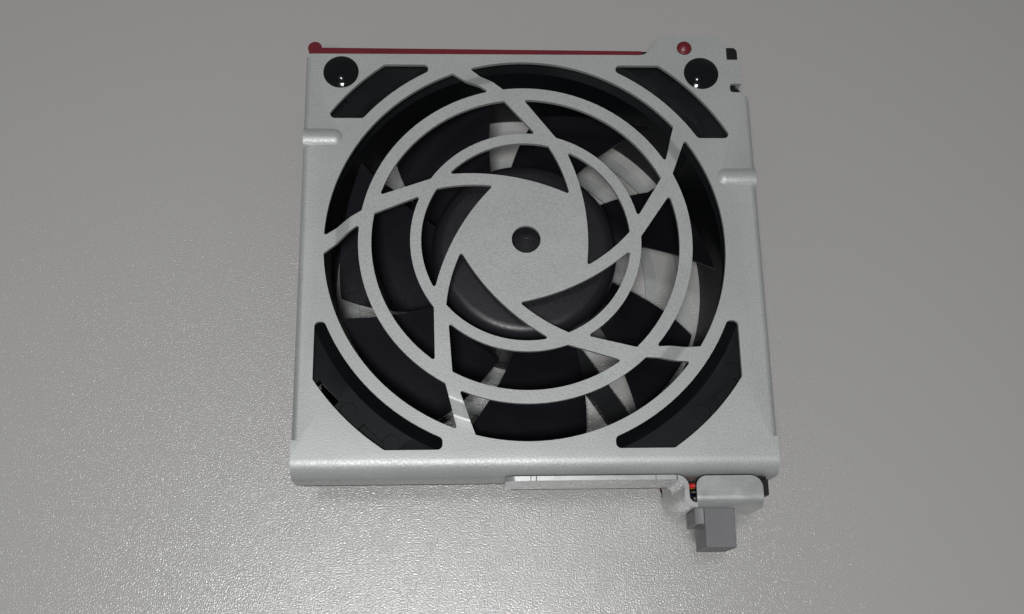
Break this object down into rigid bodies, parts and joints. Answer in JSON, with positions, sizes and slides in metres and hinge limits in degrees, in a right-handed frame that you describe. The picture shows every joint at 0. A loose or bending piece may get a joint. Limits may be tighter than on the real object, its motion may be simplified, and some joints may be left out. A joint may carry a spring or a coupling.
{
  "type": "server fan module",
  "caption": "Axial fan behind a raised spiral sheet-metal guard, with a swinging lever along its top edge and a plug-in connector on a bracket below one corner.",
  "frame": {"origin": "on the fan's axis, on the outer face of the rear guard, which the module lies on", "axes": "+Z along the fan's axis out of the spiral grille, +Y towards the lever, +X towards the side rail"},
  "size_m": [0.1289, 0.1487, 0.0437],
  "materials": {
    "galvanised": "matt galvanised sheet with a fine speckle",
    "bright_zinc": "bright zinc-plated sheet",
    "frame_plastic": "satin moulded glass-filled plastic",
    "wheel_plastic": "satin moulded plastic",
    "rail_plastic": "satin",
    "lever_plastic": "semi-gloss burgundy",
    "isolator_rubber": "glossy black rubber",
    "connector_plastic": "matt grey",
    "machined_steel": "ground",
    "cup_steel": "deep-drawn, zinc plated",
    "core_steel": "stacked laminations",
    "magnet": "matt bonded ferrite",
    "brass": "turned",
    "contact_metal": "gold-flashed",
    "copper_wire": "enamelled copper",
    "insulator_plastic": "moulded natural nylon",
    "board": "green solder mask",
    "chip_plastic": "moulded",
    "capacitor_can": "plain can",
    "red_insulation": "wire insulation",
    "black_insulation": "wire insulation",
    "yellow_insulation": "wire insulation",
    "blue_insulation": "wire insulation"
  },
  "bodies": {
    "housing": {"front_guard": "galvanised", "rear_guard": "galvanised", "connector_bracket": "bright_zinc", "rear_screws": "bright_zinc", "bracket_rivets": "bright_zinc", "fan_frame": "frame_plastic", "side_rail": "rail_plastic", "connector_carrier": "rail_plastic", "left_isolator": "isolator_rubber", "right_isolator": "isolator_rubber", "bottom_pads": "isolator_rubber", "connector_housing": "connector_plastic", "rear_bearing_outer": "machined_steel", "front_bearing_outer": "machined_steel", "preload_spring": "machined_steel", "stator_core": "core_steel", "bearing_tube": "brass", "connector_contacts": "contact_metal", "windings": "copper_wire", "rear_insulator": "insulator_plastic", "front_insulator": "insulator_plastic", "circuit_board": "board", "hall_sensor": "chip_plastic", "driver_chip": "chip_plastic", "capacitor": "capacitor_can", "red_wire": "red_insulation", "black_wire": "black_insulation", "yellow_wire": "yellow_insulation", "blue_wire": "blue_insulation"},
    "rotor": {"impeller": "wheel_plastic", "rotor_yoke": "cup_steel", "rotor_magnet": "magnet", "shaft_bush": "brass", "shaft": "machined_steel", "shaft_clip": "machined_steel", "rear_bearing_inner": "machined_steel", "front_bearing_inner": "machined_steel"},
    "bearing_balls": {"rear_bearing_balls": "machined_steel", "front_bearing_balls": "machined_steel"},
    "lever": {"lever": "lever_plastic"}
  },
  "joints": [
    {"name": "rotor_spin", "type": "hinge", "parent": "housing", "child": "rotor", "pos_m": [0, 0, 0.02], "axis": [0, 0, 1], "continuous": true},
    {"name": "ball_roll", "type": "hinge", "parent": "housing", "child": "bearing_balls", "pos_m": [0, 0, 0.02], "axis": [0, 0, 1], "continuous": true},
    {"name": "lever_swing", "type": "hinge", "parent": "housing", "child": "lever", "pos_m": [0.048, 0.06075, 0.02], "axis": [0, 0, -1], "range_deg": [0, 95]}
  ],
  "couplings": [
    {"joint": "ball_roll", "follows": "rotor_spin", "ratio": 0.3889}
  ]
}
